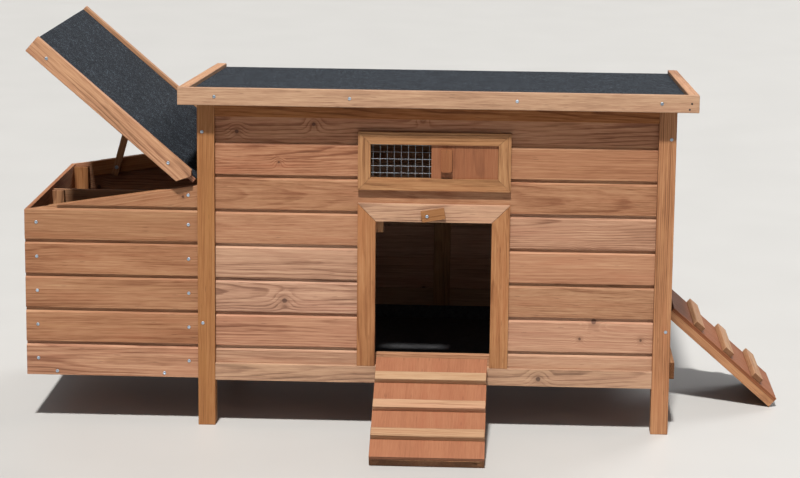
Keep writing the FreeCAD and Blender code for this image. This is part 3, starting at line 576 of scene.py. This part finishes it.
def felt_sheet(name, lip=0.0):
    """Felt laid on a deck: low waves, an uneven cut edge, and the back edge folded down."""
    source = tidy_mesh(name)
    middle, (along, across, thick), half = frame_of(list(source.faces))
    source.free()
    if thick.z < 0:
        thick, across = -thick, -across
    if across.y < 0:
        across, along = -across, -along
    bm = bmesh.new()
    grain = bm.verts.layers.float_vector.new("grain")
    step = 14 * MM
    columns = int(2 * half[0] / step)
    rows = int(2 * half[1] / step)
    sheets = []
    for level, sign in ((half[2], 1), (-half[2], -1)):
        sheet = []
        for row in range(rows + 1):
            line = []
            for column in range(columns + 1):
                x = -half[0] + 2 * half[0] * column / columns
                y = -half[1] + 2 * half[1] * row / rows
                wave = noise.noise(Vector((x * 5, y * 7, 3))) + 0.4 * noise.noise(Vector((x * 19, y * 23, 8)))
                lift = level - (0.35 * MM - 0.3 * MM * wave if sign > 0 else 0)
                edge = min(half[0] - abs(x), half[1] - abs(y))
                if edge < 0.001 * MM:
                    lift -= 0.25 * MM * sign
                vert = bm.verts.new(middle + along * x + across * y + thick * lift)
                vert[grain] = (x, y, lift)
                line.append(vert)
            sheet.append(line)
        sheets.append(sheet)
    top, under = sheets
    for row in range(rows):
        for column in range(columns):
            for sheet in sheets:
                near, far = sheet[row], sheet[row + 1]
                quad = (near[column], near[column + 1], far[column + 1], far[column])
                bm.faces.new(quad if sheet is top else reversed(quad))
    border = [(0, column) for column in range(columns)] + [(row, columns) for row in range(rows)]
    border += [(rows, column) for column in range(columns, 0, -1)] + [(row, 0) for row in range(rows, 0, -1)]
    for (row, column), (next_row, next_column) in zip(border, border[1:] + border[:1]):
        bm.faces.new((top[next_row][next_column], top[row][column],
                      under[row][column], under[next_row][next_column]))
    if lip:
        fold = []
        for x in (-half[0], half[0]):
            for y, z in ((half[1] - 2.4 * MM, -half[2]), (half[1], -half[2]),
                         (half[1] - 0.2 * MM, -half[2] - lip), (half[1] - 2.2 * MM, -half[2] - lip)):
                vert = bm.verts.new(middle + along * x + across * y + thick * z)
                vert[grain] = (x, half[1] - z, y)
                fold.append(vert)
        for index in range(4):
            after = (index + 1) % 4
            bm.faces.new((fold[index], fold[after], fold[after + 4], fold[index + 4]))
        bm.faces.new(fold[3::-1])
        bm.faces.new(fold[4:])
    bmesh.ops.recalc_face_normals(bm, faces=bm.faces)
    return piece(bm, name + "_sheet", NODES[name]["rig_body"], "felt", name)


# ------------------------------------------------------------------ pieces
ROUNDED = {"front_ramp_rungs": 0.0022, "side_ramp_rungs": 0.0022, "roof_fascia": 0.002, "roof_battens": 0.002,
           "lid_front_fascia": 0.002, "lid_back_fascia": 0.002, "perches": 0.006, "front_cladding": 0.0016,
           "left_cladding": 0.0016, "right_cladding": 0.0016, "back_cladding": 0.0016, "nest_front": 0.0016,
           "nest_back": 0.0016, "nest_end": 0.0016}
SMALL_GRAIN = {"near": 0.02, "far": 0.05, "lean": 1.0}
OWN = ("roof_felt", "lid_felt", "window_mesh", "frame_screws", "lid_screws")
for name in sorted(NODES):
    if name in OWN:
        continue
    if look_of(name) == "galvanised":
        metal(name)
    elif look_of(name) == "plywood":
        timber(name, 0.0008, turned=name == "vent_slider")
    else:
        grain = SMALL_GRAIN if name.startswith("leg") or "rungs" in name or "knob" in name else {}
        timber(name, ROUNDED.get(name, 0.0013), **grain)


def nails():
    """Two dark nail heads near the right end of the roof's front fascia."""
    source = tidy_mesh("roof_fascia")
    middle, (along, across, thick), half = frame_of(list(source.faces))
    source.free()
    out = thick if thick.y < 0 else -thick
    right = along if along.x > 0 else -along
    up = across if across.z > 0 else -across
    bm = bmesh.new()
    for inward, rise in ((18 * MM, 1 * MM), (23 * MM, -13 * MM)):
        spot = middle + right * (half[0] - inward) + up * rise + out * (half[2] - 0.2 * MM)
        screw_head(bm, spot, out, 2.6 * MM, 0.6 * MM, cross=False)
    bmesh.ops.recalc_face_normals(bm, faces=bm.faces)
    piece(bm, "fascia_nails", NODES["roof_fascia"]["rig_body"], "nail", slot="galvanised")


nails()
felt_sheet("roof_felt", lip=12 * MM)
felt_sheet("lid_felt")
welded_mesh("window_mesh")
screw_heads("frame_screws")
screw_heads("lid_screws")


# ------------------------------------------------------------------ floor, light, camera
def studio():
    """A pale floor, a sun in front, a weak sun behind, a soft fill lamp and a dim sky."""
    floor_mesh = bpy.data.meshes.new("floor")
    size = 30.0
    corners = [(-size, -size, 0), (size, -size, 0), (size, size, 0), (-size, size, 0)]
    floor_mesh.from_pydata(corners, [], [(0, 1, 2, 3)])
    floor = bpy.data.objects.new("floor", floor_mesh)
    g = Graph("pale_floor")
    place = g.add("ShaderNodeTexCoord", {}).outputs["Object"]
    soft = g.span(g.noise(g.scaled(place, 3, 3, 3), 2.0, 4.0), 0.2, 0.8, 0.46, 0.48)
    tint = g.join(soft, g.math("MULTIPLY", soft, 0.985), g.math("MULTIPLY", soft, 0.955))
    floor_mesh.materials.append(g.finish(tint, soft, soft, 0.05, 0.001))
    bpy.context.scene.collection.objects.link(floor)

    def lamp(name, spot, aim, size, power, colour):
        data = bpy.data.lights.new(name, "AREA")
        data.shape = "DISK"
        data.size = size
        data.energy = power
        data.color = colour
        item = bpy.data.objects.new(name, data)
        item.location = spot
        item.rotation_euler = (Vector(aim) - Vector(spot)).to_track_quat("-Z", "Y").to_euler()
        bpy.context.scene.collection.objects.link(item)

    lamp("fill", (5.0, -6.0, 3.2), (0, 0, 0.5), 4.5, 25, (0.95, 0.97, 1.0))
    for label, toward, strength, angle, colour in (
            ("key", (0.30, 3.6, -6.3), 5.15, 4.0, (1.0, 0.98, 0.95)),
            ("rear", (-3.0, -5.0, -4.2), 1.1, 25.0, (0.96, 0.98, 1.0))):
        data = bpy.data.lights.new(label, "SUN")
        data.energy = strength
        data.angle = math.radians(angle)
        data.color = colour
        item = bpy.data.objects.new(label, data)
        item.rotation_euler = Vector(toward).to_track_quat("-Z", "Y").to_euler()
        bpy.context.scene.collection.objects.link(item)
    world = bpy.data.worlds.new("studio")
    world.use_nodes = True
    world.node_tree.nodes["Background"].inputs[0].default_value = (0.98, 0.985, 1.0, 1)
    world.node_tree.nodes["Background"].inputs[1].default_value = 0.20
    bpy.context.scene.world = world
    bpy.context.scene.view_settings.view_transform = "Standard"


def camera(place=(0.23438, -6.15243, 1.66168), pitch=-0.19741, yaw=-0.04254, roll=0.01032, lens=112.666):
    """The camera in front of the house, slightly above it. Angles are in radians."""
    data = bpy.data.cameras.new("camera")
    data.lens = lens
    data.sensor_width = 36
    data.clip_end = 100
    item = bpy.data.objects.new("camera", data)
    forward = Vector((math.sin(yaw) * math.cos(pitch), math.cos(yaw) * math.cos(pitch), math.sin(pitch)))
    level = Vector((math.cos(yaw), -math.sin(yaw), 0))
    upright = level.cross(forward)
    right = math.cos(roll) * level + math.sin(roll) * upright
    top = math.cos(roll) * upright - math.sin(roll) * level
    item.matrix_world = Matrix((
        (right.x, top.x, -forward.x, place[0]),
        (right.y, top.y, -forward.y, place[1]),
        (right.z, top.z, -forward.z, place[2]),
        (0, 0, 0, 1)))
    bpy.context.scene.collection.objects.link(item)
    bpy.context.scene.camera = item


studio()
camera()
